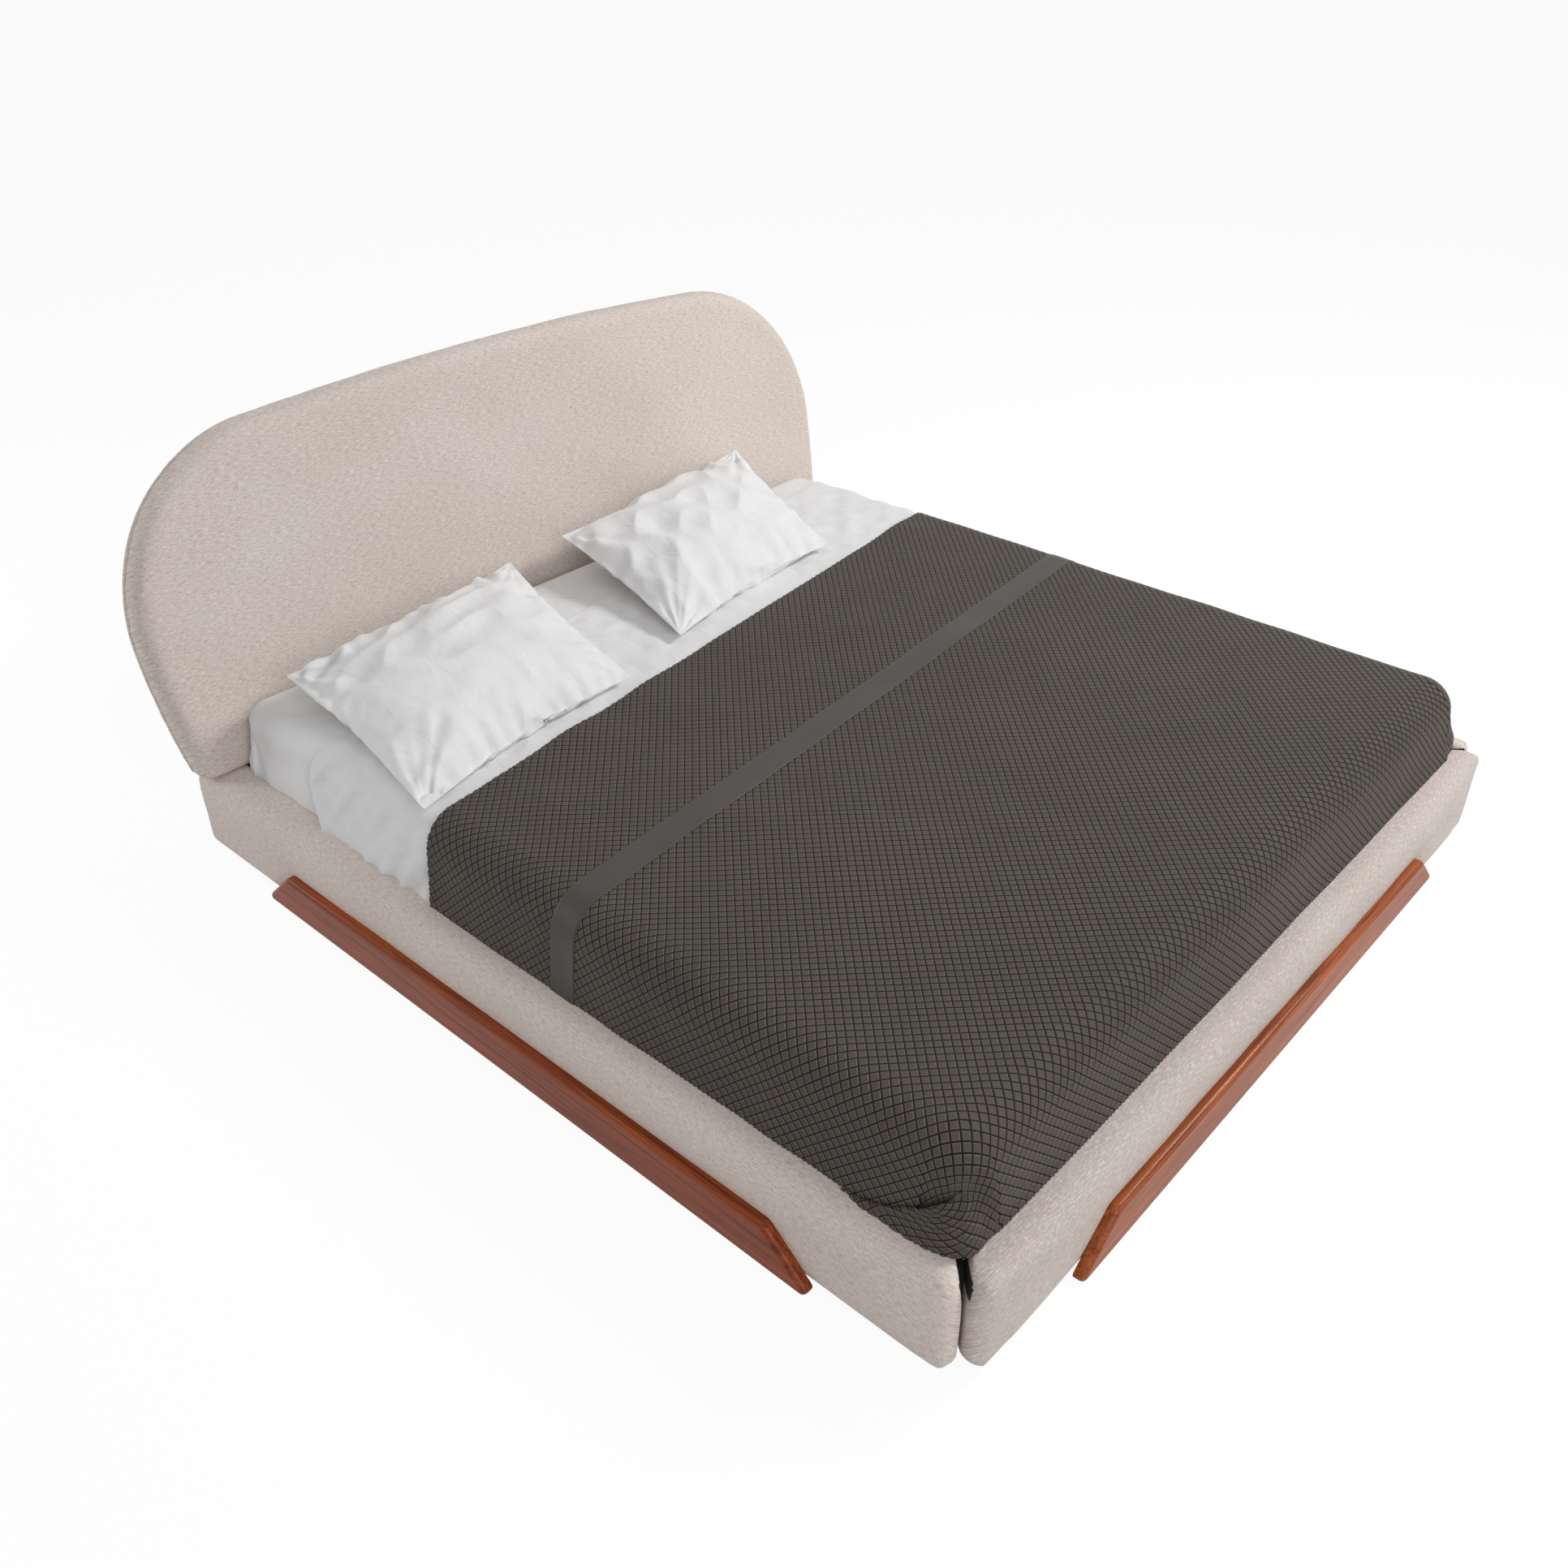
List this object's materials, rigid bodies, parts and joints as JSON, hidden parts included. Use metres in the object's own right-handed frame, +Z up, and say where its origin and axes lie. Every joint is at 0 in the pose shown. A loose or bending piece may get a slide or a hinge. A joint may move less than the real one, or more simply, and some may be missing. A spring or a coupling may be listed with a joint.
{
  "type": "upholstered bed",
  "caption": "Upholstered double bed with a leaning rounded headboard, padded rails, stained wood plinths, slatted base, mattress, sheets, quilted bedspread and pillows.",
  "frame": {"origin": "bottom centre of the bed's bounding box, on the floor", "axes": "+Z up, +Y from the foot towards the headboard, +X to the right seen from the foot"},
  "size_m": [2.2208, 2.3997, 0.9788],
  "materials": {
    "linen_oatmeal": "coarse slub linen upholstery",
    "board_raw": "raw structural board",
    "wood_stained": "stained and gloss lacquered",
    "runner_black": "matte black",
    "steel_black": "satin black powder coat",
    "steel_zinc": "zinc plated",
    "plastic_black": "moulded matte black",
    "birch": "laminated birch",
    "cloth_black": "spun non-woven cloth",
    "ticking_white": "woven mattress ticking",
    "cotton_white": "plain woven cotton",
    "quilt_taupe": "diamond quilted bedspread",
    "band_taupe": "smooth woven band"
  },
  "bodies": {
    "frame": {"base_cloth": "cloth_black", "base_ledge_foot": "board_raw", "base_ledge_head": "board_raw", "base_ledge_left": "board_raw", "base_ledge_right": "board_raw", "base_leg_feet": "plastic_black", "base_legs": "steel_black", "base_middle_beam": "steel_black", "base_tube_foot": "steel_black", "base_tube_head": "steel_black", "base_tube_left": "steel_black", "base_tube_right": "steel_black", "bracket_bolts": "steel_zinc", "corner_angle_foot_left": "steel_zinc", "corner_angle_foot_right": "steel_zinc", "corner_angle_head_left": "steel_zinc", "corner_angle_head_right": "steel_zinc", "corner_bolts_foot_left": "steel_zinc", "corner_bolts_foot_right": "steel_zinc", "corner_bolts_head_left": "steel_zinc", "corner_bolts_head_right": "steel_zinc", "head_cross_board": "board_raw", "head_feet": "runner_black", "headboard_back_panel": "linen_oatmeal", "headboard_board": "board_raw", "headboard_bracket_left": "steel_black", "headboard_bracket_right": "steel_black", "headboard_front_pad": "linen_oatmeal", "plinth_runner_foot": "runner_black", "plinth_runner_left": "runner_black", "plinth_runner_right": "runner_black", "rail_core_foot": "board_raw", "rail_core_left": "board_raw", "rail_core_right": "board_raw", "rail_cover_foot": "linen_oatmeal", "rail_cover_left": "linen_oatmeal", "rail_cover_right": "linen_oatmeal", "slat_holders_left": "plastic_black", "slat_holders_middle": "plastic_black", "slat_holders_right": "plastic_black", "slats_left": "birch", "slats_right": "birch", "wood_plinth_foot": "wood_stained", "wood_plinth_left": "wood_stained", "wood_plinth_right": "wood_stained"},
    "bedding": {"mattress": "ticking_white", "fitted_sheet": "cotton_white", "top_sheet": "cotton_white", "bedspread": "quilt_taupe", "bedspread_band": "band_taupe"},
    "pillow_left": {"pillow_left": "cotton_white"},
    "pillow_right": {"pillow_right": "cotton_white"}
  },
  "joints": [
    {"name": "mattress_lift", "type": "slide", "parent": "frame", "child": "bedding", "axis": [0, 0, 1], "range_m": [0, 0.3]},
    {"name": "pillow_left_lift", "type": "slide", "parent": "bedding", "child": "pillow_left", "axis": [0, 0, 1], "range_m": [0, 0.25]},
    {"name": "pillow_right_lift", "type": "slide", "parent": "bedding", "child": "pillow_right", "axis": [0, 0, 1], "range_m": [0, 0.25]}
  ]
}
